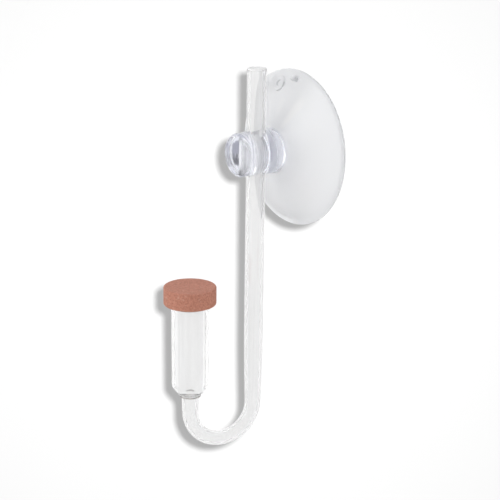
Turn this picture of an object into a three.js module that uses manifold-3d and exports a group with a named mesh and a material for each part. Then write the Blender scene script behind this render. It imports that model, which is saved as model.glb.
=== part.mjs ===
// Carbon dioxide diffuser for an aquarium, in millimetres.
//
// A clear J-shaped tube carries the gas down from a hose and up into a wider
// chamber, whose mouth is closed by a porous ceramic disc. A soft suction cup
// holds the tube by a cross bore in its head.
//
// Frame: the origin is on the suction cup's axis, in the plane of the glass pane.
// +Z is up along the stem, +Y points into the pane, so the front faces -Y.

import * as THREE from "three";
import { mergeVertices } from "three/addons/utils/BufferGeometryUtils.js";
import Module from "manifold-3d";

const wasm = await Module();
wasm.setup();

// ---- Driving dimensions ------------------------------------------------------

// Where the stem stands
const standoff = 13.5; // from the pane to the stem's axis
const stemRise = 23.8; // from the cup's axis up to the hose end
const stemDrop = 74.9; // from the cup's axis down to where the bend starts
const swivel = -12.0; // degrees that the short arm is turned from straight out

// Gas stem
const stemRadius = 2.75;
const stemWall = 1.0;
const bendRadius = 10.05; // of the centreline
const bendThinning = 0.22; // share of its width that the tube loses in the bend
const thinningReach = 38; // along the tube from the bend's lowest point
const armRise = 5.9; // short arm, above the bend's centre

// Gas chamber
const chamberRadius = 5.3;
const chamberWall = 1.0;
const chamberLength = 29.6;
const neckOverlap = 0.6; // how far the stem's end stands inside the neck
const neckClearance = 0.15; // between the stem and the neck's bore
const neckLip = 0.45; // width of the neck's lower lip
const shoulderHeight = 3.3;
const shoulderPull = [0.75, 0.6]; // pull of the shoulder's curve: outwards, upwards
const floorThickness = 1.1;
const floorPull = [0.9, 0.3]; // the same for the floor inside it

// Joint ring under the neck
const ringHeight = 0.45;
const ringGap = 0.05;

// Ceramic disc and its adhesive
const discRadius = 7.5;
const discThickness = 5.2;
const discEdge = 0.35; // rounding of both rims
const socketDepth = 1.75;
const glueWidth = 0.35; // radial width of the adhesive in the socket
const glueGap = 0.1; // between the adhesive and each of its neighbours
const glueBead = 0.75; // how far the squeezed-out bead stands off the chamber
const glueBeadHeight = 0.6;
const glueBeadPull = [0.5, 0.75];

// Suction cup: heights are measured from the pane
const rimRadius = 22.4;
const rimEdge = 0.6; // height of the rim's outer edge
const sealWidth = 1.6; // flat sealing lip
const dishPull = [0.63, 0.63]; // pull of the outer face's curve: outwards, downwards
const hollowDepth = 5.6;
const hollowPull = [0.63, 0.2];
const crownDome = 0.2; // rise of the hollow's crown from its edge to its middle
const bossRadius = 6.27;
const bossBase = 7.75; // height at which the dish meets the boss
const bossFillet = 0.7;
const barrelRadius = 6.3;
const knobRadius = 6.12;
const knobFront = 6.75; // from the stem's axis to the knob's front face
const knobEdge = 0.9; // rounding of the knob's front rim
const waistWidth = 0.5; // half width of the shallow groove behind the knob
const waistDepth = 0.3;
const waistPlace = 3.8; // in front of the stem's axis
const grooveWidth = 0.85; // half width of the groove at the mould's parting
const grooveDepth = 0.6;
const groovePlace = 0.7; // in front of the stem's axis
const gateRadius = 0.9; // moulding gate in the knob's front face
const gateDepth = 0.4;
const boreClearance = 0.08; // between the stem and the cup's cross bore

// Lift tab and moulded eyelet, both near the top of the rim
const tabWidth = 2.6;
const tabHeight = 1.4;
const tabThickness = 1.5;
const tabInset = 2.3; // from the rim's edge to the tab's middle
const tabTurn = 6; // degrees round the rim from its top
const eyeletInset = 3.9;
const eyeletRadius = 2.3;
const eyeletHole = 0.9;
const eyeletHeight = 0.5;
const eyeletTurn = -12;
const rootDepth = 0.5; // how far both reach into the dish

// Fineness of the round surfaces
const tubeSides = 28;
const boreSides = 16;
const turnedSides = 40;
const cupSides = 56;
const dishSteps = 8;
const curveSteps = 6;
const roundSteps = 4;
const bisections = 30; // halvings when a point is sought on the dish's curve

// ---- Values that follow ------------------------------------------------------

const armOffset = 2 * bendRadius;
const neckHeight = armRise - neckOverlap; // above the bend's centre
const chamberTop = neckHeight + chamberLength;
const discBase = chamberTop - socketDepth;
const socketRadius = chamberRadius + glueWidth + 2 * glueGap;

// ---- Helpers -----------------------------------------------------------------

const point = (r, h) => new THREE.Vector2(r, h);

/** A point between two others, at one share of the way across and another of the way up. */
function between(from, to, [across, up]) {
  return point(THREE.MathUtils.lerp(from.x, to.x, across), THREE.MathUtils.lerp(from.y, to.y, up));
}

/** Points of a quadratic curve in the turning plane, without its first point. */
function bow(from, control, to, steps = curveSteps) {
  return new THREE.QuadraticBezierCurve(from, control, to).getPoints(steps).slice(1);
}

/** Points of a quarter round that starts at angle a0 and turns by a1 - a0, in degrees. */
function quarter(cx, cy, radius, a0, a1) {
  const points = [];
  for (let i = 0; i <= roundSteps; i++) {
    const a = THREE.MathUtils.degToRad(a0 + ((a1 - a0) * i) / roundSteps);
    points.push(point(cx + radius * Math.cos(a), cy + radius * Math.sin(a)));
  }
  return points;
}

/** A body turned about the Z axis from points (radius, height). */
function turnedAboutZ(profile, sides) {
  return new THREE.LatheGeometry(profile, sides).rotateX(Math.PI / 2);
}

/** A closed geometry as a solid for cutting and joining. */
function solid(geometry) {
  const bare = geometry.clone();
  bare.deleteAttribute("normal");
  bare.deleteAttribute("uv");
  const merged = mergeVertices(bare, 1e-4);
  return new wasm.Manifold(
    new wasm.Mesh({
      numProp: 3,
      vertProperties: merged.attributes.position.array,
      triVerts: new Uint32Array(merged.index.array),
    }),
  );
}

/** A solid back as a geometry. */
function geometryOf(manifold) {
  const mesh = manifold.getMesh();
  const geometry = new THREE.BufferGeometry();
  geometry.setAttribute("position", new THREE.BufferAttribute(mesh.vertProperties, 3));
  geometry.setIndex(new THREE.BufferAttribute(mesh.triVerts, 1));
  return geometry;
}

function part(name, geometry, colour, roughness) {
  const material = new THREE.MeshStandardMaterial({ color: colour, roughness, metalness: 0 });
  const mesh = new THREE.Mesh(geometry, material);
  mesh.name = name;
  return mesh;
}

// ---- Gas stem ----------------------------------------------------------------
// In the stem's own frame: its long leg is the Z axis, the bend's centre is at
// height 0, and the short arm rises at y = -armOffset.

/** Share of its full width that the tube keeps, a distance along it from the bend's lowest point. */
function thinning(distance) {
  return 1 - bendThinning * (1 - THREE.MathUtils.smoothstep(distance, 0, thinningReach));
}

/** The J-shaped centreline. Each stretch is swept in its own number of steps. */
class StemPath extends THREE.Curve {
  constructor() {
    super();
    const quarterTurn = (Math.PI / 2) * bendRadius;
    const leg = stemRise + stemDrop;
    const thinned = Math.min(thinningReach - quarterTurn, leg);
    this.stretches = [
      { length: leg - thinned, steps: 2 },
      { length: thinned, steps: 5 },
      { length: 2 * quarterTurn, steps: 16 },
      { length: armRise, steps: 2 },
    ];
    this.leg = leg;
    this.steps = this.stretches.reduce((sum, stretch) => sum + stretch.steps, 0);
  }

  getUtoTmapping(u) {
    return u;
  }

  /** Distance along the centreline at parameter t. */
  distance(t) {
    let step = t * this.steps;
    let along = 0;
    for (const stretch of this.stretches) {
      const share = THREE.MathUtils.clamp(step / stretch.steps, 0, 1);
      along += share * stretch.length;
      step -= stretch.steps;
    }
    return along;
  }

  getPoint(t, target = new THREE.Vector3()) {
    const past = this.distance(t) - this.leg;
    if (past <= 0) return target.set(0, 0, -past);
    const angle = past / bendRadius;
    if (angle <= Math.PI) {
      return target.set(0, bendRadius * (Math.cos(angle) - 1), -bendRadius * Math.sin(angle));
    }
    return target.set(0, -armOffset, past - Math.PI * bendRadius);
  }
}

/** The point of the centreline nearest to p, and its distance from the bend's lowest point. */
function nearestOnCentreline(p) {
  const quarterTurn = (Math.PI / 2) * bendRadius;
  if (p.z >= 0) {
    const y = p.y < -bendRadius ? -armOffset : 0;
    return { centre: new THREE.Vector3(0, y, p.z), distance: quarterTurn + p.z };
  }
  const spoke = new THREE.Vector3(0, p.y + bendRadius, p.z).setLength(bendRadius);
  const turn = Math.abs(Math.atan2(spoke.y, -spoke.z));
  spoke.y -= bendRadius;
  return { centre: spoke, distance: bendRadius * turn };
}

function ringOutline(radius, sides, PathType) {
  const outline = new PathType();
  for (let i = 0; i < sides; i++) {
    const a = (2 * Math.PI * i) / sides;
    const [x, y] = [radius * Math.cos(a), radius * Math.sin(a)];
    if (i === 0) outline.moveTo(x, y);
    else outline.lineTo(x, y);
  }
  outline.closePath();
  return outline;
}

function gasStem() {
  const path = new StemPath();
  const section = ringOutline(stemRadius, tubeSides, THREE.Shape);
  section.holes.push(ringOutline(stemRadius - stemWall, boreSides, THREE.Path));
  const tube = new THREE.ExtrudeGeometry(section, { steps: path.steps, extrudePath: path });
  const position = tube.attributes.position;
  const p = new THREE.Vector3();
  for (let i = 0; i < position.count; i++) {
    p.fromBufferAttribute(position, i);
    const { centre, distance } = nearestOnCentreline(p);
    p.sub(centre).multiplyScalar(thinning(distance)).add(centre);
    position.setXYZ(i, p.x, p.y, p.z);
  }
  return tube;
}

// ---- Gas chamber, its joint ring, the disc and its adhesive ------------------
// Turned about the short arm's axis, with heights above the bend's centre.

/** Outer radius of the short arm at a height above the bend's centre. */
function armRadius(height) {
  return stemRadius * thinning((Math.PI / 2) * bendRadius + height);
}

const neckBore = armRadius(armRise) + neckClearance;
const neckRadius = neckBore + neckLip;

function gasChamber() {
  const inner = chamberRadius - chamberWall;
  const shoulder = neckHeight + shoulderHeight;
  const floor = neckHeight + floorThickness;
  const lip = point(neckRadius, neckHeight);
  const outside = point(chamberRadius, shoulder);
  const inside = point(inner, shoulder + floorThickness / 2);
  const mouth = point(neckBore, floor);
  return turnedAboutZ(
    [
      point(neckBore, neckHeight),
      lip,
      ...bow(lip, between(lip, outside, shoulderPull), outside),
      point(chamberRadius, chamberTop),
      point(inner, chamberTop),
      inside,
      ...bow(inside, between(mouth, inside, floorPull), mouth),
      point(neckBore, neckHeight),
    ],
    turnedSides,
  );
}

function jointRing() {
  const bottom = neckHeight - ringHeight;
  const bore = armRadius(neckHeight) + ringGap;
  const top = neckHeight - ringGap;
  const heel = point(bore + neckLip / 2, bottom);
  const brim = point(neckRadius, top);
  return turnedAboutZ(
    [
      point(bore, bottom),
      heel,
      ...bow(heel, point(neckRadius, (bottom + top) / 2), brim, roundSteps),
      point(bore, top),
      point(bore, bottom),
    ],
    turnedSides,
  );
}

function ceramicDisc() {
  const top = discBase + discThickness;
  const ceiling = chamberTop + glueGap;
  const round = discRadius - discEdge;
  return turnedAboutZ(
    [
      point(0, ceiling),
      point(socketRadius, ceiling),
      point(socketRadius, discBase),
      ...quarter(round, discBase + discEdge, discEdge, -90, 0),
      ...quarter(round, top - discEdge, discEdge, 0, 90),
      point(0, top),
    ],
    turnedSides,
  );
}

function discSeal() {
  const bore = chamberRadius + glueGap;
  const width = socketRadius - glueGap;
  const top = chamberTop - glueGap;
  const under = discBase - glueGap;
  const toe = point(bore + glueGap, under - glueBeadHeight);
  const heel = point(chamberRadius + glueBead, under);
  return turnedAboutZ(
    [
      point(bore, toe.y),
      toe,
      ...bow(toe, between(toe, heel, glueBeadPull), heel, roundSteps),
      point(width, under),
      point(width, top),
      point(bore, top),
      point(bore, toe.y),
    ],
    turnedSides,
  );
}

// ---- Suction cup -------------------------------------------------------------
// Turned about the Y axis. A height h from the pane is at y = -h.

const dishEdge = point(rimRadius, rimEdge);
const dishTop = point(bossRadius + bossFillet, bossBase);

/** Outer profile of the dish, from the rim's edge to the boss. */
const dishCurve = new THREE.QuadraticBezierCurve(
  dishEdge,
  between(dishTop, dishEdge, dishPull),
  dishTop,
);

/** Point and outward slope of the dish's outer face at a distance from the cup's axis. */
function onDish(radius) {
  let [low, high] = [0, 1];
  for (let i = 0; i < bisections; i++) {
    const middle = (low + high) / 2;
    if (dishCurve.getPoint(middle).x > radius) low = middle;
    else high = middle;
  }
  const tangent = dishCurve.getTangent(low);
  return { height: dishCurve.getPoint(low).y, slope: Math.atan2(tangent.y, -tangent.x) };
}

function cupProfile() {
  const front = standoff + knobFront;
  const waist = standoff + waistPlace;
  const groove = standoff + groovePlace;
  const lip = point(rimRadius - sealWidth, 0);
  const crown = point(bossRadius, hollowDepth - crownDome);
  return [
    point(0, hollowDepth),
    crown,
    ...bow(crown, between(crown, lip, hollowPull), lip),
    point(rimRadius, 0),
    ...dishCurve.getPoints(dishSteps),
    point(bossRadius, bossBase + bossFillet),
    point(bossRadius, groove - grooveWidth),
    point(bossRadius - grooveDepth, groove - grooveWidth),
    point(bossRadius - grooveDepth, groove + grooveWidth),
    point(barrelRadius, groove + grooveWidth),
    point(barrelRadius, waist - waistWidth),
    point(barrelRadius - waistDepth, waist),
    point(knobRadius, waist + waistWidth),
    ...quarter(knobRadius - knobEdge, front - knobEdge, knobEdge, 0, 90),
    point(gateRadius, front),
    point(gateRadius, front - gateDepth),
    point(0, front - gateDepth),
  ];
}

/** Places a piece on the dish: its own Z axis becomes the dish's outward normal. */
function onDishFace(geometry, radius, turn) {
  const { height, slope } = onDish(radius);
  return geometry
    .rotateX(Math.PI / 2 - slope)
    .translate(0, -height, radius)
    .rotateY(THREE.MathUtils.degToRad(turn));
}

function liftTab() {
  const half = tabWidth / 2;
  const outline = new THREE.Shape();
  outline.moveTo(-half, -rootDepth);
  outline.lineTo(half, -rootDepth);
  outline.lineTo(half, tabHeight - half);
  outline.absarc(0, tabHeight - half, half, 0, Math.PI, false);
  outline.closePath();
  const plate = new THREE.ExtrudeGeometry(outline, {
    depth: tabThickness,
    bevelEnabled: false,
    curveSegments: curveSteps,
  });
  plate.translate(0, 0, -tabThickness / 2).rotateX(Math.PI / 2);
  return onDishFace(plate, rimRadius - tabInset, tabTurn);
}

function eyelet() {
  const ring = turnedAboutZ(
    [
      point(0, -rootDepth),
      point(eyeletRadius, -rootDepth),
      point(eyeletRadius, eyeletHeight / 2),
      point(eyeletRadius - eyeletHeight / 2, eyeletHeight),
      point(eyeletHole, eyeletHeight),
      point(eyeletHole, 0),
      point(0, 0),
    ],
    boreSides,
  );
  return onDishFace(ring, rimRadius - eyeletInset, eyeletTurn);
}

function suctionCup() {
  const body = new THREE.LatheGeometry(
    cupProfile().map((p) => point(p.x, -p.y)).reverse(),
    cupSides,
  );
  // The bore's flats, not its corners, keep the clearance to the stem.
  const boreRadius = (stemRadius + boreClearance) / Math.cos(Math.PI / tubeSides);
  const boreLength = 2 * (knobRadius + bossRadius); // well past both sides of the head
  const bore = new THREE.CylinderGeometry(boreRadius, boreRadius, boreLength, tubeSides);
  bore.rotateX(Math.PI / 2).translate(0, -standoff, 0);
  return geometryOf(solid(body).add(solid(liftTab())).add(solid(eyelet())).subtract(solid(bore)));
}

// ---- Assembly ----------------------------------------------------------------

const clearGlass = 0xe9edee;
const clearVinyl = 0xdfe4ee;
const cement = 0xd8d0c4;
const terracotta = 0xb87c6a;
const silicone = 0xe6e8e6;

const arm = new THREE.Group();
arm.position.y = -armOffset;
arm.add(
  part("gas_chamber", gasChamber(), clearGlass, 0.05),
  part("joint_ring", jointRing(), cement, 0.2),
  part("ceramic_disc", ceramicDisc(), terracotta, 0.95),
  part("disc_seal", discSeal(), silicone, 0.4),
);

const stem = new THREE.Group();
stem.position.set(0, -standoff, -stemDrop);
stem.rotation.z = THREE.MathUtils.degToRad(swivel);
stem.add(part("gas_stem", gasStem(), clearGlass, 0.05), arm);

const diffuser = new THREE.Group();
diffuser.add(part("suction_cup", suctionCup(), clearVinyl, 0.25), stem);

export default diffuser;
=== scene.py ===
"""Looks of the carbon dioxide diffuser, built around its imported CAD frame.

Every piece is made here at the CAD's place and size, with more sides, rounded
edges and its own procedural material, and stands for one CAD node. Lengths are
in metres; dimensions that are written here in millimetres pass through mm().
"""

import math

import bmesh
import bpy
from mathutils import Matrix, Vector, noise


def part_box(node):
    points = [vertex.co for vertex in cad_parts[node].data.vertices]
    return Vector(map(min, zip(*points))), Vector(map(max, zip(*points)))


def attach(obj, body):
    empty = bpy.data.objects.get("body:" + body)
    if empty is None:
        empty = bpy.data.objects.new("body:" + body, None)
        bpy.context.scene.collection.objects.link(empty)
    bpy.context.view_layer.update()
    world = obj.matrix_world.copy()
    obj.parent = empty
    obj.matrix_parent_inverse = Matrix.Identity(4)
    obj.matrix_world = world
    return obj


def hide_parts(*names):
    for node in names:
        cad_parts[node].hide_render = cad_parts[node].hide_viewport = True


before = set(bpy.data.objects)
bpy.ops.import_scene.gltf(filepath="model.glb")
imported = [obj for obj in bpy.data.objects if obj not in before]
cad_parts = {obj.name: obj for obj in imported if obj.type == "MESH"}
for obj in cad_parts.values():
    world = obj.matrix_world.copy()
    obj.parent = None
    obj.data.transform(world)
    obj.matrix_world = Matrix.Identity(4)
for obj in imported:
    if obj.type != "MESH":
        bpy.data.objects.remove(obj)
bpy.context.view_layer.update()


def mm(*values):
    """Millimetres to metres: one number, or a list of several."""
    metres = [0.001 * value for value in values]
    return metres[0] if len(metres) == 1 else metres


# ---- Places and sizes read from the frame ------------------------------------

stem_low, stem_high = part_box("gas_stem")
chamber_low, chamber_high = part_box("gas_chamber")
ring_low, ring_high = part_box("joint_ring")
disc_low, disc_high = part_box("ceramic_disc")
seal_low, seal_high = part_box("disc_seal")
cup_low, cup_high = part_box("suction_cup")

tube_radius = stem_high.x
stem_axis = Vector((0, stem_high.y - tube_radius, 0))
arm_axis = Vector(((chamber_low.x + chamber_high.x) / 2, (chamber_low.y + chamber_high.y) / 2, 0))
arm_way = (arm_axis - stem_axis).normalized()
bend_radius = (arm_axis - stem_axis).length / 2
chamber_radius = (chamber_high.x - chamber_low.x) / 2
ring_radius = (ring_high.x - ring_low.x) / 2
disc_radius = (disc_high.x - disc_low.x) / 2
seal_radius = (seal_high.x - seal_low.x) / 2
rim_radius = cup_high.x
standoff = -stem_axis.y
head_front = -cup_low.y

# The CAD's own values that its boxes don't give
TUBE_WALL = mm(1.0)
BEND_THINNING = 0.22
THINNING_REACH = mm(38)
CHAMBER_WALL = mm(1.0)
NECK_BORE = mm(2.62)
ARM_END = mm(0.6)  # above the chamber's lower edge
SOCKET_DEPTH = mm(1.75)
BORE_CLEARANCE = mm(0.08)

bend_height = stem_low.z + bend_radius + tube_radius * (1 - BEND_THINNING)

# ---- Mesh helpers ------------------------------------------------------------

ARC_SHARE = 0.49  # of a side that one arc may take
SAME_PLACE = 1e-8  # metres between points that become one
NO_LENGTH = 1e-9


def between(start, end, share):
    """The point at a share of the way from start to end."""
    return tuple(a + share * (b - a) for a, b in zip(start, end))


def bezier(start, control, end, steps=24):
    """Points of a quadratic curve, both ends included."""
    points = []
    for i in range(steps + 1):
        t = i / steps
        first, middle, last = (1 - t) ** 2, 2 * t * (1 - t), t * t
        points.append(tuple(first * a + middle * b + last * c for a, b, c in zip(start, control, end)))
    return points


def rounded(corners, steps=6):
    """An outline whose corners (x, y, radius) are turned into arcs.

    A radius of 0 leaves a corner as it is. An arc takes just under half of the
    shorter of its two sides at most.
    """
    points = []
    count = len(corners)
    for i, (x, y, radius) in enumerate(corners):
        corner = Vector((x, y))
        before = Vector(corners[i - 1][:2]) - corner
        after = Vector(corners[(i + 1) % count][:2]) - corner
        if radius <= 0:
            points.append((x, y))
            continue
        half = before.angle(after) / 2
        reach = min(radius / math.tan(half), ARC_SHARE * before.length, ARC_SHARE * after.length)
        radius = reach * math.tan(half)
        start = corner + before.normalized() * reach
        end = corner + after.normalized() * reach
        middle_way = (before.normalized() + after.normalized()).normalized()
        centre = corner + middle_way * (radius / math.sin(half))
        for step in range(steps + 1):
            spoke = start.lerp(end, step / steps) - centre
            point = centre + spoke.normalized() * radius
            points.append((point.x, point.y))
    return points


def spaced(outline, step):
    """The same outline with points added along every stretch longer than a step."""
    points = []
    for start, end in zip(outline, outline[1:]):
        stretches = max(1, math.ceil(math.dist(start, end) / step))
        points += [between(start, end, i / stretches) for i in range(stretches)]
    points.append(outline[-1])
    return points


def mesh_object(name, vertices, faces):
    """An object in the scene, its doubled points merged and its faces turned outwards."""
    mesh = bpy.data.meshes.new(name)
    mesh.from_pydata([tuple(v) for v in vertices], [], faces)
    piece = bpy.data.objects.new(name, mesh)
    bpy.context.scene.collection.objects.link(piece)
    clean = bmesh.new()
    clean.from_mesh(mesh)
    bmesh.ops.remove_doubles(clean, verts=clean.verts, dist=SAME_PLACE)
    bmesh.ops.dissolve_degenerate(clean, edges=clean.edges, dist=NO_LENGTH)
    bmesh.ops.recalc_face_normals(clean, faces=clean.faces)
    clean.to_mesh(mesh)
    clean.free()
    return piece


def smooth(piece, sharp_above):
    """Smooth shading, with edges left sharp above an angle in degrees."""
    for polygon in piece.data.polygons:
        polygon.use_smooth = True
    piece.data.set_sharp_from_angle(angle=math.radians(sharp_above))
    return piece


def loop_faces(rings, sides, closed):
    """Quads between rings of vertices that are numbered one after another."""
    faces = []
    for ring in range(rings if closed else rings - 1):
        this, other = ring * sides, (ring + 1) % rings * sides
        for side in range(sides):
            beside = (side + 1) % sides
            faces.append((this + side, this + beside, other + beside, other + side))
    return faces


def turned(name, outline, sides, centre, axis="Z", closed=True):
    """A body turned about the Z axis, or about the Y axis with heights towards -Y."""
    vertices = []
    for radius, height in outline:
        for side in range(sides):
            angle = 2 * math.pi * side / sides
            across, along = radius * math.cos(angle), radius * math.sin(angle)
            if axis == "Z":
                vertices.append(centre + Vector((across, along, height)))
            else:
                vertices.append(centre + Vector((across, -height, along)))
    return mesh_object(name, vertices, loop_faces(len(outline), sides, closed))


def apply_boolean(piece, other, operation):
    """Adds another body to a piece or cuts it away, and deletes the other body."""
    modifier = piece.modifiers.new(operation, "BOOLEAN")
    modifier.operation = operation
    modifier.object = other
    modifier.solver = "EXACT"
    depsgraph = bpy.context.evaluated_depsgraph_get()
    mesh = bpy.data.meshes.new_from_object(piece.evaluated_get(depsgraph))
    piece.modifiers.remove(modifier)
    old = piece.data
    piece.data = mesh
    mesh.name = piece.name
    bpy.data.meshes.remove(old)
    bpy.data.objects.remove(other)


# ---- Gas stem ----------------------------------------------------------------

LEG_STEPS, BEND_STEPS, ARM_STEPS = 40, 96, 8

leg_length = stem_high.z - bend_height
bend_length = math.pi * bend_radius
arm_length = chamber_low.z + ARM_END - bend_height
path_length = leg_length + bend_length + arm_length


def smoothstep(value, end):
    """Rises softly from 0 to 1 while a value goes from 0 to its end."""
    share = min(max(value / end, 0), 1)
    return share * share * (3 - 2 * share)


def thinning(distance):
    """Share of its full width that the tube keeps at a distance along it."""
    from_bottom = abs(distance - leg_length - bend_length / 2)
    return 1 - BEND_THINNING * (1 - smoothstep(from_bottom, THINNING_REACH))


def stem_path(distance):
    """Centre of the tube and its in-plane normal, a distance down from the hose end."""
    past = distance - leg_length
    if past <= 0:
        return stem_axis + Vector((0, 0, bend_height - past)), arm_way
    if past < bend_length:
        angle = past / bend_radius
        spoke = Vector((-math.cos(angle) * arm_way.x, -math.cos(angle) * arm_way.y, -math.sin(angle)))
        middle = stem_axis + arm_way * bend_radius + Vector((0, 0, bend_height))
        return middle + spoke * bend_radius, -spoke
    rise = past - bend_length
    return arm_axis + Vector((0, 0, bend_height + rise)), -arm_way


def swept(name, outline, sides):
    """A tube whose closed outline is given as (distance along the stem, radius)."""
    across = Vector((0, 0, 1)).cross(arm_way)
    vertices = []
    for distance, radius in outline:
        centre, normal = stem_path(distance)
        radius *= thinning(distance)
        for side in range(sides):
            angle = 2 * math.pi * side / sides
            vertices.append(centre + radius * (math.cos(angle) * normal + math.sin(angle) * across))
    return mesh_object(name, vertices, loop_faces(len(outline), sides, True))


def stations():
    """Distances along the stem: sparse on the leg and the arm, dense in the bend."""
    steps = [leg_length * i / LEG_STEPS for i in range(1, LEG_STEPS)]
    steps += [leg_length + bend_length * i / BEND_STEPS for i in range(BEND_STEPS + 1)]
    steps += [leg_length + bend_length + arm_length * i / ARM_STEPS for i in range(1, ARM_STEPS)]
    return steps


def lip(distance, direction, radius, wall, steps=8):
    """Half-round end between the outer and the inner wall."""
    middle = radius - wall / 2
    points = []
    for i in range(steps + 1):
        angle = math.pi * i / steps
        reach = direction * (wall / 2) * math.sin(angle)
        points.append((distance - direction * wall / 2 + reach, middle + wall / 2 * math.cos(angle)))
    return points


def gas_stem():
    """The bent tube, open at both ends, its cut ends rounded."""
    down = stations()
    inner = tube_radius - TUBE_WALL
    outline = [(distance, tube_radius) for distance in down]
    outline += lip(path_length, 1, tube_radius, TUBE_WALL)
    outline += [(distance, inner) for distance in reversed(down)]
    outline += reversed(lip(0, -1, tube_radius, TUBE_WALL))
    return smooth(swept("stem_tube", outline, sides=72), sharp_above=60)


# ---- Gas chamber and its closing ring ----------------------------------------

SHOULDER_HEIGHT = mm(3.3)
SHOULDER_PULL = (0.75, 0.6)  # of its width and height, towards its outer corner
INNER_SHOULDER_HIGHER = mm(0.55)
NECK_WALL = mm(0.45)
NECK_EDGE = mm(0.15)
FLOOR_THICKNESS = mm(1.1)
FLOOR_RISE = mm(2.2)
FLOOR_PULL = (0.9, 0.3)
CHAMBER_EDGE = mm(0.2)
BORE_EDGE = mm(0.1)
RING_WIDTH = mm(0.85)


def gas_chamber():
    """A tube with a round shoulder, a floor and a neck that stands on the arm."""
    inner = chamber_radius - CHAMBER_WALL
    low, high = chamber_low.z, chamber_high.z
    shoulder = low + SHOULDER_HEIGHT
    neck = NECK_BORE + NECK_WALL
    outside = bezier(
        (neck, low + NECK_EDGE),
        (neck + SHOULDER_PULL[0] * (chamber_radius - neck), low + SHOULDER_PULL[1] * SHOULDER_HEIGHT),
        (chamber_radius, shoulder),
    )
    floor = low + FLOOR_THICKNESS
    inside = bezier(
        (inner, shoulder + INNER_SHOULDER_HIGHER),
        (NECK_BORE + FLOOR_PULL[0] * (inner - NECK_BORE), floor + FLOOR_PULL[1] * FLOOR_RISE),
        (NECK_BORE + CHAMBER_EDGE, floor),
    )
    outline = [(NECK_BORE + BORE_EDGE, low), *outside]
    outline += [(chamber_radius, high - CHAMBER_EDGE), (chamber_radius - CHAMBER_EDGE, high)]
    outline += [(inner + CHAMBER_EDGE, high), (inner, high - CHAMBER_EDGE), *inside]
    outline += [(NECK_BORE, floor - CHAMBER_EDGE), (NECK_BORE, low + BORE_EDGE)]
    outline = spaced(outline + outline[:1], step=mm(0.8))[:-1]
    return smooth(turned("chamber_tube", outline, sides=128, centre=arm_axis), sharp_above=50)


def joint_ring():
    """A fillet between the neck and the arm: full under the neck, thin at its lower edge."""
    bore = ring_radius - RING_WIDTH
    outline = rounded(
        [
            (bore, ring_low.z, mm(0.05)),
            (bore + mm(0.3), ring_low.z, mm(0.2)),
            (ring_radius, ring_high.z - mm(0.1), mm(0.1)),
            (ring_radius, ring_high.z, mm(0.05)),
            (bore, ring_high.z, mm(0.05)),
        ]
    )
    return smooth(turned("neck_bead", outline, sides=96, centre=arm_axis), sharp_above=60)


# ---- Ceramic disc and its adhesive -------------------------------------------

SOCKET_WIDER = mm(0.55)  # than the chamber, all round
SOCKET_TOP_GAP = mm(0.1)
GRAINS_PER_METRE = 1400
PIT_DEPTH = mm(0.035)
PIT_SHARE = 0.25  # raises the noise, so that more than half of the surface is pitted
SEAL_GAP = mm(0.1)
SEAL_WALL = mm(0.3)  # inside the socket


def ceramic_disc():
    """A disc with a socket from below, its surface pressed in grain by grain."""
    socket = chamber_radius + SOCKET_WIDER
    low, high = disc_low.z, disc_high.z
    ceiling = low + SOCKET_DEPTH + SOCKET_TOP_GAP
    corners = [
        (0, ceiling, 0),
        (socket, ceiling, 0),
        (socket, low, mm(0.15)),
        (disc_radius, low, mm(0.4)),
        (disc_radius, high, mm(0.45)),
        (0, high, 0),
    ]
    outline = spaced(rounded(corners), step=mm(0.22))
    piece = turned("porous_disc", outline, sides=200, centre=arm_axis, closed=False)
    centre = arm_axis + Vector((0, 0, (low + high) / 2))
    for vertex in piece.data.vertices:
        place = vertex.co * GRAINS_PER_METRE
        grain = noise.noise(place) + 0.5 * noise.noise(place * 2.1)
        inward = (centre - vertex.co).normalized()
        vertex.co += inward * PIT_DEPTH * max(0, grain + PIT_SHARE)
    return smooth(piece, sharp_above=50)


def disc_seal():
    """A bead under the disc, with a thin wall that reaches up into the socket."""
    bore = chamber_radius + SEAL_GAP
    under = disc_low.z - SEAL_GAP
    outline = rounded(
        [
            (bore, seal_low.z, 0),
            (bore + mm(0.15), seal_low.z, mm(0.1)),
            (seal_radius, under - mm(0.25), mm(0.25)),
            (seal_radius, under, mm(0.1)),
            (bore + SEAL_WALL, under, 0),
            (bore + SEAL_WALL, seal_high.z, 0),
            (bore, seal_high.z, 0),
        ]
    )
    return smooth(turned("adhesive_bead", outline, sides=96, centre=arm_axis), sharp_above=60)


# ---- Suction cup -------------------------------------------------------------
# Heights on the cup are measured from the pane, along -Y.

BOSS_RADIUS = mm(6.27)
BARREL_RADIUS = mm(6.3)
KNOB_RADIUS = mm(6.12)
BOSS_BASE = mm(7.75)
BOSS_FLARE = mm(0.7)
HOLLOW_DEPTH = mm(5.6)
CROWN_ROUND = mm(0.2)
HOLLOW_PULL = (0.63, 0.8)  # of the hollow's width and depth
DISH_PULL = 0.63  # of the way from the boss to the rim
LIP_WIDTH = mm(1.6)
RIM_EDGE = mm(0.3)
POINTS_UNDER_RIM = 3  # at the dish's edge, which give way to the rounded rim
GROOVE_PAST_BORE = mm(0.7)
GROOVE_HALF, GROOVE_FLOOR_HALF, GROOVE_DEPTH = mm(0.85, 0.8, 0.55)
WAIST_PAST_BORE = mm(3.8)
WAIST_HALF, WAIST_DEPTH = mm(1, 0.05)
KNOB_ROUND = mm(0.9)
GATE_RADIUS, GATE_FLOOR_RADIUS, GATE_DEPTH = mm(0.9, 0.6, 0.08)
TAB_TAPER = 0.85

dish_edge = (rim_radius, RIM_EDGE)
dish_top = (BOSS_RADIUS + BOSS_FLARE, BOSS_BASE)


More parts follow.
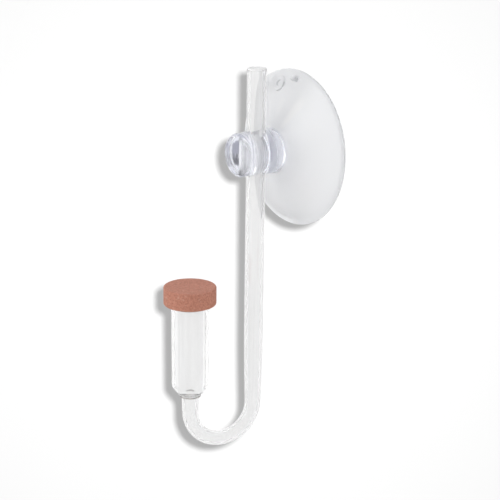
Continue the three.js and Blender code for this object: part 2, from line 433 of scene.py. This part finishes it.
def head_outline():
    """Boss, groove, barrel, waist and knob, out to the gate mark in the knob's front."""
    groove = standoff + GROOVE_PAST_BORE
    waist = standoff + WAIST_PAST_BORE
    return rounded(
        [
            (*dish_top, 0),
            (BOSS_RADIUS, BOSS_BASE + mm(0.45), mm(0.8)),
            (BOSS_RADIUS, groove - GROOVE_HALF, mm(0.25)),
            (BOSS_RADIUS - GROOVE_DEPTH, groove - GROOVE_FLOOR_HALF, mm(0.15)),
            (BOSS_RADIUS - GROOVE_DEPTH, groove + GROOVE_FLOOR_HALF, mm(0.15)),
            (BARREL_RADIUS, groove + GROOVE_HALF, mm(0.25)),
            (BARREL_RADIUS, waist - WAIST_HALF, mm(2)),
            (KNOB_RADIUS - WAIST_DEPTH, waist, mm(3)),
            (KNOB_RADIUS, waist + WAIST_HALF, mm(2)),
            (KNOB_RADIUS, head_front, KNOB_ROUND),
            (GATE_RADIUS, head_front, mm(0.3)),
            (GATE_FLOOR_RADIUS, head_front - GATE_DEPTH, mm(0.3)),
            (0, head_front - GATE_DEPTH, 0),
        ],
        steps=8,
    )


def cup_outline():
    """From the axis over the hollow, the lip, the rim, the dish and the head back to the axis."""
    lip_inner = rim_radius - LIP_WIDTH
    crown = (BOSS_RADIUS, HOLLOW_DEPTH - CROWN_ROUND)
    hollow_pull = (crown[0] + HOLLOW_PULL[0] * (lip_inner - crown[0]), HOLLOW_PULL[1] * crown[1])
    hollow = bezier(crown, hollow_pull, (lip_inner, 0), steps=32)
    dish = bezier(dish_edge, between(dish_top, dish_edge, DISH_PULL), dish_top, steps=40)
    dish = dish[POINTS_UNDER_RIM:]
    rim = rounded(
        [
            (lip_inner, 0, 0),
            (rim_radius, 0, mm(0.12)),
            (*dish_edge, mm(0.15)),
            (*dish[0], 0),
        ]
    )
    outline = [(0, HOLLOW_DEPTH), *hollow, *rim[1:-1], *dish, *head_outline()[1:]]
    return spaced(outline, step=mm(0.6))


def on_dish(piece, inset, turn):
    """Moves a piece made round the origin onto the dish.

    The inset is from the rim and the turn in degrees from the top. The piece's Z
    becomes the dish's outward normal.
    """
    radius = rim_radius - inset
    slope = math.atan2(dish_top[1] - dish_edge[1], dish_edge[0] - dish_top[0])
    height = RIM_EDGE + inset * math.tan(slope)
    angle = math.radians(turn)
    outwards = Vector((math.sin(angle), 0, math.cos(angle)))
    across = Vector((math.cos(angle), 0, -math.sin(angle)))
    normal = math.sin(slope) * outwards - math.cos(slope) * Vector((0, 1, 0))
    axes = Matrix((across, normal.cross(across), normal)).transposed().to_4x4()
    place = outwards * radius - Vector((0, height, 0))
    piece.data.transform(Matrix.Translation(place) @ axes)
    return piece


def lift_tab():
    """An upright tongue with a round end and bevelled edges, its root inside the dish."""
    half, thick, root, tall = mm(1.3, 1.5, -0.5, 1.4)
    tip = TAB_TAPER * half
    outline = rounded([(-half, root, 0), (half, root, 0), (tip, tall, half), (-tip, tall, half)], steps=10)
    count = len(outline)
    vertices = [(x, y, z) for y in (-thick / 2, thick / 2) for x, z in outline]
    faces = [tuple(range(count - 1, -1, -1)), tuple(range(count, 2 * count))]
    faces += [(k, (k + 1) % count, count + (k + 1) % count, count + k) for k in range(count)]
    tab = mesh_object("tab", vertices, faces)
    shape = bmesh.new()
    shape.from_mesh(tab.data)
    sharp = [edge for edge in shape.edges if edge.calc_face_angle(0) > 1]
    bmesh.ops.bevel(shape, geom=sharp, offset=mm(0.35), segments=4, profile=0.5, affect="EDGES")
    shape.to_mesh(tab.data)
    shape.free()
    return on_dish(tab, inset=mm(2.3), turn=6)


def eyelet():
    """A flat ring with a thin web across its hole."""
    radius, hole, hole_floor, half, web = mm(2.3, 0.9, 0.8, 0.5, -0.15)
    outline = rounded(
        [
            (0, -half, 0),
            (radius, -half, 0),
            (radius, half, mm(0.3)),
            (hole, half, mm(0.3)),
            (hole_floor, web, mm(0.15)),
            (0, web, 0),
        ]
    )
    ring = turned("eyelet", outline, sides=48, centre=Vector(), closed=False)
    return on_dish(ring, inset=mm(3.9), turn=-12)


def cross_bore():
    """The tool that cuts the barrel's bore, longer than the head is wide."""
    radius, reach = tube_radius + BORE_CLEARANCE, mm(9)
    outline = [(0, -reach), (radius, -reach), (radius, reach), (0, reach)]
    return turned("bore", outline, sides=96, centre=stem_axis, closed=False)


def suction_cup():
    """One moulding: the turned body with its bore, tab and eyelet."""
    body = turned("cup_body", cup_outline(), sides=192, centre=Vector(), axis="Y", closed=False)
    apply_boolean(body, cross_bore(), "DIFFERENCE")
    apply_boolean(body, lift_tab(), "UNION")
    apply_boolean(body, eyelet(), "UNION")
    return smooth(body, sharp_above=35)


# ---- Nodes -------------------------------------------------------------------
# A tree is a material's or the world's node tree. Texture scales are per metre.

WHITE = (1, 1, 1)


def rgba(colour):
    """A fixed colour with its alpha, or another node's output as it is."""
    return colour if isinstance(colour, bpy.types.NodeSocket) else (*colour, 1)


def fill(tree, node, inputs):
    """Gives a node's inputs fixed values or other nodes' outputs, and returns the node."""
    for key, value in inputs.items():
        if isinstance(value, bpy.types.NodeSocket):
            tree.links.new(value, node.inputs[key])
        else:
            node.inputs[key].default_value = value
    return node


def add(tree, kind, inputs=None):
    """A new shader node of a kind, with its inputs filled."""
    return fill(tree, tree.nodes.new("ShaderNode" + kind), inputs or {})


def maths(tree, operation, *values):
    """The result of a Math node."""
    node = add(tree, "Math")
    node.operation = operation
    return fill(tree, node, dict(enumerate(values))).outputs["Value"]


def scaled(tree, vector, factors):
    """A vector multiplied axis by axis by fixed factors."""
    node = add(tree, "VectorMath")
    node.operation = "MULTIPLY"
    return fill(tree, node, {0: vector, 1: factors}).outputs["Vector"]


def length(tree, vector):
    node = add(tree, "VectorMath")
    node.operation = "LENGTH"
    return fill(tree, node, {0: vector}).outputs["Value"]


def object_place(tree):
    """A point's place in the object's own axes: as one vector, and as x, y and z."""
    place = add(tree, "TexCoord").outputs["Object"]
    parts = add(tree, "SeparateXYZ", {"Vector": place}).outputs
    return place, (parts["X"], parts["Y"], parts["Z"])


def ranged(tree, value, low, high, start, end):
    """Maps a value between low and high softly to a number between start and end."""
    node = add(tree, "MapRange")
    node.interpolation_type = "SMOOTHSTEP"
    limits = {"Value": value, "From Min": low, "From Max": high, "To Min": start, "To Max": end}
    return fill(tree, node, limits).outputs["Result"]


def noise_texture(tree, place, scale, detail, rough=0.5):
    inputs = {"Vector": place, "Scale": scale, "Detail": detail, "Roughness": rough}
    return add(tree, "TexNoise", inputs).outputs["Fac"]


def mixed(tree, share, first, second, blend="MIX"):
    """A share of the second colour mixed into the first."""
    node = add(tree, "Mix")
    node.data_type = "RGBA"
    node.blend_type = blend
    share_in, first_in, second_in, colour_out = 0, 6, 7, 2
    inputs = {share_in: share, first_in: rgba(first), second_in: rgba(second)}
    return fill(tree, node, inputs).outputs[colour_out]


def lightened(tree, share, base, light):
    """A colour lightened by a share of a second one."""
    return mixed(tree, share, base, light, "SCREEN")


def bump(tree, height, strength, distance):
    inputs = {"Height": height, "Strength": strength, "Distance": distance}
    return add(tree, "Bump", inputs).outputs["Normal"]


def new_material(name):
    """A new material with its node tree and its Principled shader."""
    material = bpy.data.materials.new(name)
    material.use_nodes = True
    tree = material.node_tree
    return material, tree, tree.nodes["Principled BSDF"]


# ---- Materials ---------------------------------------------------------------

GLASS_DARK = (0.965, 0.965, 0.965)
GLASS_CLEAR, CUT_CLEAR = 0.9, 0.25
CUT_ROUGH = 0.45
CUT_FROST_START, CUT_FROST_FULL = mm(0.55, 0.3)  # below the tube's upper end
DRAW_LINE_STRETCH = (1, 1, 0.015)

HEAD_TINT, DISH_TINT = (0.99, 0.993, 1), (0.93, 0.935, 0.945)
HEAD_CLEAR, DISH_CLEAR = 0.985, 0.74
HEAD_ROUGH, DISH_ROUGH = 0.14, 0.38
MILKY_INWARDS, MILKY_OUTWARDS, MILKY_ABOVE_BASE = mm(1.5, 0.5, 1.6)  # where the head turns into the dish
VINYL_DEPTH_TINT, VINYL_DEPTH_DENSITY = (0.25, 0.36, 1), 7
# Painted highlights: radial streaks where the dish's colour is lightened towards white, standing in for a
# lamp's soft reflections.
HIGHLIGHT_STREAK_HALF_WIDTH = math.radians(10)
HIGHLIGHT_STREAK_FADE = mm(5)
PAINTED_HIGHLIGHT_STREAKS = (  # degrees from the top, inner and outer radius, strength
    (26, mm(5), mm(19), 1.0),
    (0, mm(7), mm(17), 0.6),
)

CERAMIC_DARK, CERAMIC_PALE = (0.34, 0.135, 0.085), (0.54, 0.235, 0.165)
PALE_GRAIN, PALE_GRAIN_SHARE = (1, 0.75, 0.65), 0.11
PALE_TOP, PALE_TOP_SHARE = (1, 0.4, 0.36), 0.07
PALE_TOP_START, PALE_TOP_FULL = mm(0.3, 0.1)  # below the disc's top


def glass_material():
    """Drawn tube: faint lengthwise lines, a trace of milkiness and a frosted cut end."""
    material, tree, shader = new_material("drawn_glass")
    place, (_, _, z) = object_place(tree)
    at_cut = ranged(tree, z, stem_high.z - CUT_FROST_START, stem_high.z - CUT_FROST_FULL, 0, 1)
    lines = noise_texture(tree, scaled(tree, place, DRAW_LINE_STRETCH), scale=1500, detail=2)
    look = {
        "Base Color": mixed(tree, ranged(tree, lines, 0.35, 0.65, 0, 1), GLASS_DARK, WHITE),
        "Roughness": ranged(tree, at_cut, 0, 1, 0, CUT_ROUGH),
        "Transmission Weight": ranged(tree, at_cut, 0, 1, GLASS_CLEAR, CUT_CLEAR),
        "IOR": 1.5,
        "Normal": bump(tree, lines, strength=0.04, distance=mm(0.01)),
    }
    fill(tree, shader, look)
    return material


def painted_highlight_streak(tree, angle, radius, turn, inner, outer):
    """Share of a painted highlight on the dish: a soft radial streak at a turn in degrees from the top."""
    distance = maths(tree, "ABSOLUTE", maths(tree, "SUBTRACT", angle, math.radians(turn)))
    width = ranged(tree, distance, 0, HIGHLIGHT_STREAK_HALF_WIDTH, 1, 0)
    starts = ranged(tree, radius, inner, inner + HIGHLIGHT_STREAK_FADE, 0, 1)
    ends = ranged(tree, radius, outer - HIGHLIGHT_STREAK_FADE, outer, 1, 0)
    return maths(tree, "MULTIPLY", width, maths(tree, "MULTIPLY", starts, ends))


def vinyl_material():
    """Clear where the head is solid, and slightly milky and matt on the thin dish, whose colour carries
    painted highlight streaks.
    """
    material, tree, shader = new_material("soft_vinyl")
    place, (x, y, z) = object_place(tree)
    radius = length(tree, scaled(tree, place, (1, 0, 1)))
    outside = ranged(tree, radius, BOSS_RADIUS - MILKY_INWARDS, BOSS_RADIUS + MILKY_OUTWARDS, 0, 1)
    low = ranged(tree, y, -BOSS_BASE - MILKY_ABOVE_BASE, -BOSS_BASE, 0, 1)
    on_thin_dish = maths(tree, "MULTIPLY", outside, low)
    colour = mixed(tree, on_thin_dish, HEAD_TINT, DISH_TINT)
    angle = maths(tree, "ARCTAN2", x, z)
    # Painted highlights: the dish's colour is lightened towards white along radial streaks.
    for turn, inner, outer, strength in PAINTED_HIGHLIGHT_STREAKS:
        highlight_share = painted_highlight_streak(tree, angle, radius, turn, inner, outer)
        colour = lightened(tree, ranged(tree, highlight_share, 0, 1, 0, strength), colour, WHITE)
    ripple = noise_texture(tree, place, scale=160, detail=2)
    look = {
        "Base Color": colour,
        "Transmission Weight": ranged(tree, on_thin_dish, 0, 1, HEAD_CLEAR, DISH_CLEAR),
        "Roughness": ranged(tree, on_thin_dish, 0, 1, HEAD_ROUGH, DISH_ROUGH),
        "IOR": 1.45,
        "Normal": bump(tree, ripple, strength=0.25, distance=mm(0.4)),
    }
    fill(tree, shader, look)
    tint = {"Color": rgba(VINYL_DEPTH_TINT), "Density": VINYL_DEPTH_DENSITY}
    depth = add(tree, "VolumeAbsorption", tint).outputs["Volume"]
    fill(tree, tree.nodes["Material Output"], {"Volume": depth})
    return material


def ceramic_material():
    """Sintered ceramic: fine grain, a few pale grains, and paler towards its top."""
    material, tree, shader = new_material("porous_ceramic")
    place, (_, _, z) = object_place(tree)
    grain = noise_texture(tree, place, scale=2200, detail=6, rough=0.7)
    body = mixed(tree, ranged(tree, grain, 0.3, 0.62, 0, 1), CERAMIC_DARK, CERAMIC_PALE)
    coarse = noise_texture(tree, place, scale=1300, detail=1)
    pale = ranged(tree, coarse, 0.6, 0.75, 0, PALE_GRAIN_SHARE)
    top_start, top_full = disc_high.z - PALE_TOP_START, disc_high.z - PALE_TOP_FULL
    top = ranged(tree, z, top_start, top_full, 0, PALE_TOP_SHARE)
    speckled = lightened(tree, pale, body, PALE_GRAIN)
    look = {
        "Base Color": lightened(tree, top, speckled, PALE_TOP),
        "Roughness": 0.9,
        "Normal": bump(tree, grain, strength=0.5, distance=mm(0.1)),
    }
    fill(tree, shader, look)
    return material


def bead_material(name, dark, pale, rough):
    """Clear bead that was laid by hand: slightly uneven in tone and surface."""
    material, tree, shader = new_material(name)
    place, _ = object_place(tree)
    uneven = noise_texture(tree, place, scale=700, detail=2)
    look = {
        "Base Color": mixed(tree, ranged(tree, uneven, 0.35, 0.65, 0, 1), dark, pale),
        "Roughness": rough,
        "Transmission Weight": 0.8,
        "IOR": 1.5,
        "Normal": bump(tree, uneven, strength=0.3, distance=mm(0.1)),
    }
    fill(tree, shader, look)
    return material


# ---- Pieces ------------------------------------------------------------------

glass = glass_material()
vinyl = vinyl_material()
ceramic = ceramic_material()
ring_glass = bead_material("joint_glass", (0.8, 0.74, 0.68), (0.94, 0.92, 0.9), 0.05)
adhesive = bead_material("adhesive", (0.9, 0.9, 0.89), (0.95, 0.95, 0.94), 0.3)

pieces = {}
for maker, material, node, body, slot in (
    (gas_stem, glass, "gas_stem", "stem", "clear_glass"),
    (gas_chamber, glass, "gas_chamber", "stem", "clear_glass"),
    (joint_ring, ring_glass, "joint_ring", "stem", "clear_cement"),
    (ceramic_disc, ceramic, "ceramic_disc", "stem", "porous_ceramic"),
    (disc_seal, adhesive, "disc_seal", "stem", "clear_adhesive"),
    (suction_cup, vinyl, "suction_cup", "cup", "clear_vinyl"),
):
    piece = maker()
    piece.data.materials.clear()
    piece.data.materials.append(material)
    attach(piece, body)
    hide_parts(node)
    pieces[node] = piece

# ---- Camera ------------------------------------------------------------------

AZIMUTH, ELEVATION, ROLL = (math.radians(angle) for angle in (52.1, 16.65, 0.70))
DISTANCE = mm(347.66)
TARGET = Vector(mm(-0.888, -14.484, -28.402))
LENS, SENSOR = 87.42, 36  # Blender takes both in millimetres

back = Vector(
    (
        math.sin(AZIMUTH) * math.cos(ELEVATION),
        -math.cos(AZIMUTH) * math.cos(ELEVATION),
        math.sin(ELEVATION),
    )
)
level = Vector((math.cos(AZIMUTH), math.sin(AZIMUTH), 0))
upright = back.cross(level)
right = math.cos(ROLL) * level + math.sin(ROLL) * upright
up = math.cos(ROLL) * upright - math.sin(ROLL) * level
view_axes = Matrix((right, up, back)).transposed().to_4x4()

camera_data = bpy.data.cameras.new("camera")
camera_data.lens = LENS
camera_data.sensor_width = SENSOR
camera_data.clip_start, camera_data.clip_end = mm(10, 10000)
camera = bpy.data.objects.new("camera", camera_data)
camera.matrix_world = Matrix.Translation(TARGET + back * DISTANCE) @ view_axes
bpy.context.scene.collection.objects.link(camera)
bpy.context.scene.camera = camera

# ---- Backdrop and cards ------------------------------------------------------

BACKDROP_BEHIND = mm(500)
BACKDROP_HALF = mm(320)
BACKDROP_GREY = 0.48  # which the shadow lamp lights up to white

CARD_AWAY = mm(350)
FLAG_TURN = math.radians(47)
FLAG_HALF = mm(130)
FLAG_LOW, FLAG_MIDDLE, FLAG_HIGH = mm(-420, 20, 430)
FLAG_BLUENESS = 1.15
SURROUNDINGS = 0.97  # how bright the stage looks to the pieces that must not see a flag
LIGHT_ON_CARDS = 0.9  # a grey card shows this share of its grey
VEIL_HALF = mm(90)
VEIL_LOW, VEIL_HIGH = mm(-330, 40)


def stage_panel(name, corners, material):
    """A flat four-cornered sheet with one material."""
    panel = mesh_object(name, corners, [(0, 1, 2, 3)])
    panel.data.materials.append(material)
    return panel


def backdrop():
    """For the camera a lit matt sheet with the object's shadow, for other rays plain white."""
    corners = [
        TARGET - back * BACKDROP_BEHIND + x * BACKDROP_HALF * right + y * BACKDROP_HALF * up
        for x, y in ((-1, -1), (1, -1), (1, 1), (-1, 1))
    ]
    material, tree, shader = new_material("backdrop_white")
    tree.nodes.remove(shader)
    matte = add(tree, "BsdfDiffuse", {"Color": (BACKDROP_GREY, BACKDROP_GREY, BACKDROP_GREY, 1)})
    white = add(tree, "Emission", {"Color": rgba(WHITE)})
    choice = {
        "Fac": add(tree, "LightPath").outputs["Is Camera Ray"],
        1: white.outputs["Emission"],
        2: matte.outputs["BSDF"],
    }
    surface = add(tree, "MixShader", choice).outputs["Shader"]
    fill(tree, tree.nodes["Material Output"], {"Surface": surface})
    return stage_panel("backdrop", corners, material)


def side_card(name, turn, half, low, high, receivers):
    """An upright card beside the object, which only glass and gloss can pick up.

    Its glow reaches only the receivers. Returns its node tree and its shader.
    """
    way = Vector((math.cos(turn), math.sin(turn), 0))
    across = Vector((-way.y, way.x, 0))
    corners = [
        way * CARD_AWAY + x * half * across + Vector((0, 0, z))
        for x, z in ((-1, low), (1, low), (1, high), (-1, high))
    ]
    material, tree, shader = new_material(name)
    material.cycles.emission_sampling = "NONE"
    card = stage_panel(name, corners, material)
    card.visible_camera = False
    card.visible_diffuse = False
    card.visible_shadow = False
    card.light_linking.receiver_collection = receivers
    return tree, shader


def flag(name, low, high, grey, unseen_by):
    """A dark card, which glows as bright as the stage for the pieces that must not see it."""
    tree, shader = side_card(name, FLAG_TURN, FLAG_HALF, low, high, unseen_by)
    look = {
        "Base Color": (grey, grey, FLAG_BLUENESS * grey, 1),
        "Roughness": 0.9,
        "Emission Color": rgba(WHITE),
        "Emission Strength": SURROUNDINGS - LIGHT_ON_CARDS * grey,
    }
    fill(tree, shader, look)


def veil(name, turn, glow, receivers):
    """A clear card, at a turn in degrees, that adds a little light for its receivers."""
    tree, shader = side_card(name, math.radians(turn), VEIL_HALF, VEIL_LOW, VEIL_HIGH, receivers)
    tree.nodes.remove(shader)
    clear = add(tree, "BsdfTransparent").outputs["BSDF"]
    light = add(tree, "Emission", {"Strength": glow}).outputs["Emission"]
    surface = add(tree, "AddShader", {0: clear, 1: light}).outputs["Shader"]
    fill(tree, tree.nodes["Material Output"], {"Surface": surface})


def group(name, members):
    """A collection that is not in the scene and only says which pieces a light reaches."""
    collection = bpy.data.collections.new(name)
    for member in members:
        collection.objects.link(member)
    return collection


wall = backdrop()
stem_pieces = group("stem_pieces", [piece for node, piece in pieces.items() if node != "suction_cup"])
flag("flag_low", FLAG_LOW, FLAG_MIDDLE, grey=0.36, unseen_by=stem_pieces)
flag("flag_high", FLAG_MIDDLE, FLAG_HIGH, grey=0.1, unseen_by=stem_pieces)
chamber_only = group("chamber_only", [pieces["gas_chamber"]])
veil("veil_right", turn=117, glow=0.3, receivers=chamber_only)
veil("veil_left", turn=180, glow=0.2, receivers=chamber_only)

# ---- Light -------------------------------------------------------------------

SKY_LIGHT = 0.88  # for diffuse and glossy rays; seen directly or through glass it is white
SHADOW_LAMP_RIGHT, SHADOW_LAMP_UP, SHADOW_LAMP_SIZE = mm(3.9, 2.7, 3.7)
SHADOW_LAMP_WATTS = 9
KEY_OFFSET = Vector(mm(-250, -600, 170))
KEY_SIZE = mm(280)
KEY_WATTS = 0.85


def sky():
    """White all round, and a little dimmer for the light it casts."""
    world = bpy.data.worlds.new("studio")
    world.use_nodes = True
    bpy.context.scene.world = world
    tree = world.node_tree
    lit = fill(tree, tree.nodes["Background"], {"Color": rgba(WHITE), "Strength": SKY_LIGHT})
    white = add(tree, "Background", {"Color": rgba(WHITE)})
    path = add(tree, "LightPath").outputs
    choice = {
        "Fac": maths(tree, "MAXIMUM", path["Is Camera Ray"], path["Is Transmission Ray"]),
        1: lit.outputs["Background"],
        2: white.outputs["Background"],
    }
    surface = add(tree, "MixShader", choice).outputs["Shader"]
    fill(tree, tree.nodes["World Output"], {"Surface": surface})


def lamp(name, place, aim, size, watts):
    """A round area lamp."""
    data = bpy.data.lights.new(name, "AREA")
    data.shape = "DISK"
    data.size = size
    data.energy = watts
    thing = bpy.data.objects.new(name, data)
    thing.rotation_mode = "QUATERNION"
    thing.location = place
    thing.rotation_quaternion = (aim - place).to_track_quat("-Z", "Y")
    bpy.context.scene.collection.objects.link(thing)
    return thing


sky()

# The shadow lamp stands just beside the camera and lights the backdrop only, so the
# object's shadow shows as an even band along its left side.
shadow_place = TARGET + back * DISTANCE + right * SHADOW_LAMP_RIGHT + up * SHADOW_LAMP_UP
shadow_lamp = lamp("shadow_lamp", shadow_place, shadow_place - back, SHADOW_LAMP_SIZE, SHADOW_LAMP_WATTS)
shadow_lamp.data.cycles.use_multiple_importance_sampling = False
shadow_lamp.light_linking.receiver_collection = group("lit_by_shadow_lamp", [wall])

lamp("key", TARGET + KEY_OFFSET, TARGET, KEY_SIZE, KEY_WATTS)

bpy.context.scene.view_settings.view_transform = "Standard"
